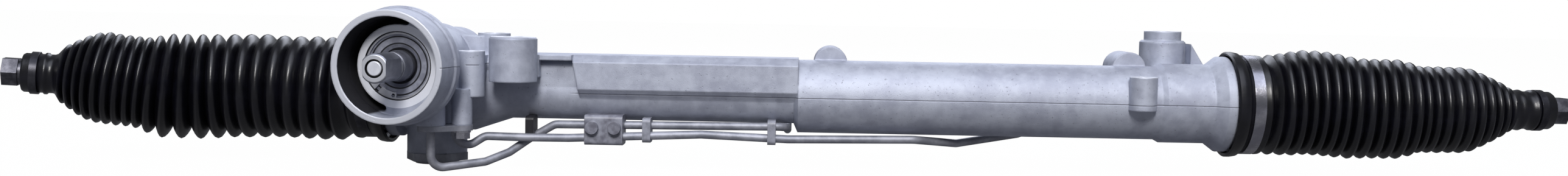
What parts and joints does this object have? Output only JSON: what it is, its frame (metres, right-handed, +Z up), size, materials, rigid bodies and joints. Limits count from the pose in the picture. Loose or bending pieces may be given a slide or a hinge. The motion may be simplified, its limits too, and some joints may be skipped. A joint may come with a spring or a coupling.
{
  "type": "hydraulic steering rack",
  "caption": "Power-assisted rack and pinion steering gear: cast housing with an angled valve tower, bellows boots, transfer pipes and tie rods on ball joints.",
  "frame": {"origin": "centre of the left mounting eye's bore, half way up it", "axes": "+X along the rack towards the end away from the valve tower, +Z up along the mounting eyes' bores, +Y to the rear, away from the valve tower's mouth"},
  "size_m": [1.1422, 0.1751, 0.1178],
  "materials": {
    "cast_aluminium": "blasted casting",
    "ground_steel": "ground",
    "gear_steel": "machined",
    "zinc_steel": "zinc plated",
    "bright_steel": "stainless",
    "spring_steel": "phosphated",
    "boot_rubber": "moulded",
    "seal_rubber": "moulded",
    "bronze": "sintered",
    "ptfe": "filled",
    "nylon": "moulded",
    "clip_plastic": "moulded"
  },
  "bodies": {
    "housing": {"main_housing": "cast_aluminium", "pinion_bush": "bronze", "lower_bearing_outer": "ground_steel", "lower_bearing_balls": "bright_steel", "lower_cap": "zinc_steel", "input_bearing": "ground_steel", "input_seal": "seal_rubber", "seal_circlip": "spring_steel", "yoke": "gear_steel", "yoke_ring": "seal_rubber", "yoke_liner": "ptfe", "yoke_spring": "spring_steel", "yoke_plug": "zinc_steel", "yoke_lock_nut": "zinc_steel", "inner_rack_seal": "seal_rubber", "inner_seal_washer": "gear_steel", "rack_gland": "cast_aluminium", "gland_ring": "seal_rubber", "rack_seal": "seal_rubber", "rack_bush": "bronze", "gland_circlip": "spring_steel", "transfer_pipe_left": "zinc_steel", "transfer_pipe_right": "zinc_steel", "union_nuts": "zinc_steel", "pipe_flange": "zinc_steel", "pipe_o_rings": "seal_rubber", "flange_bolt": "bright_steel", "pipe_clip": "clip_plastic", "pipe_straps": "clip_plastic", "boot_left": "boot_rubber", "boot_clamp_left": "spring_steel", "boot_right": "boot_rubber", "boot_clamp_right": "bright_steel"},
    "rack": {"rack_bar": "ground_steel", "piston": "gear_steel", "piston_ring": "ptfe", "piston_snap_rings": "spring_steel", "ball_housing_left": "gear_steel", "ball_housing_right": "gear_steel"},
    "pinion": {"pinion": "gear_steel", "valve_sleeve": "ground_steel", "valve_rings": "ptfe", "lower_bearing_inner": "ground_steel", "pinion_nut": "zinc_steel"},
    "input_shaft": {"input_shaft": "gear_steel", "torsion_bar": "bright_steel", "torsion_pin": "ground_steel"},
    "seat_left": {"ball_seat_left": "nylon"},
    "seat_right": {"ball_seat_right": "nylon"},
    "tie_rod_left": {"tie_rod_left": "zinc_steel", "neck_clip_left": "spring_steel"},
    "tie_rod_right": {"tie_rod_right": "zinc_steel", "neck_clip_right": "spring_steel"}
  },
  "joints": [
    {"name": "rack_slide", "type": "slide", "parent": "housing", "child": "rack", "axis": [1, 0, 0], "range_m": [-0.056, 0.0885], "deforming": ["boot_left", "boot_right"]},
    {"name": "pinion_spin", "type": "hinge", "parent": "housing", "child": "pinion", "pos_m": [-0.0645, 0.035, -0.00442], "axis": [-0.0872, -0.9962, 0], "range_deg": [-378, 597]},
    {"name": "torsion_twist", "type": "hinge", "parent": "pinion", "child": "input_shaft", "pos_m": [-0.0645, 0.035, -0.00442], "axis": [-0.0872, -0.9962, 0], "range_deg": [-5, 5], "stiffness_Nm_per_rad": 110},
    {"name": "rod_swing_left", "type": "hinge", "parent": "rack", "child": "seat_left", "pos_m": [-0.21245, 0.035, -0.02525], "axis": [0, 1, 0], "range_deg": [-20.1, 11.9]},
    {"name": "rod_sweep_left", "type": "hinge", "parent": "seat_left", "child": "tie_rod_left", "pos_m": [-0.21245, 0.035, -0.02525], "axis": [0.0715, 0, 0.9974], "range_deg": [-46, 6]},
    {"name": "rod_swing_right", "type": "hinge", "parent": "rack", "child": "seat_right", "pos_m": [0.61995, 0.035, -0.02525], "axis": [0, -1, 0], "range_deg": [-16, 16]},
    {"name": "rod_sweep_right", "type": "hinge", "parent": "seat_right", "child": "tie_rod_right", "pos_m": [0.61995, 0.035, -0.02525], "axis": [0, 0, 1], "range_deg": [-26, 26]}
  ],
  "couplings": [
    {"joint": "pinion_spin", "follows": "rack_slide", "rad_per_m": 117.46}
  ]
}
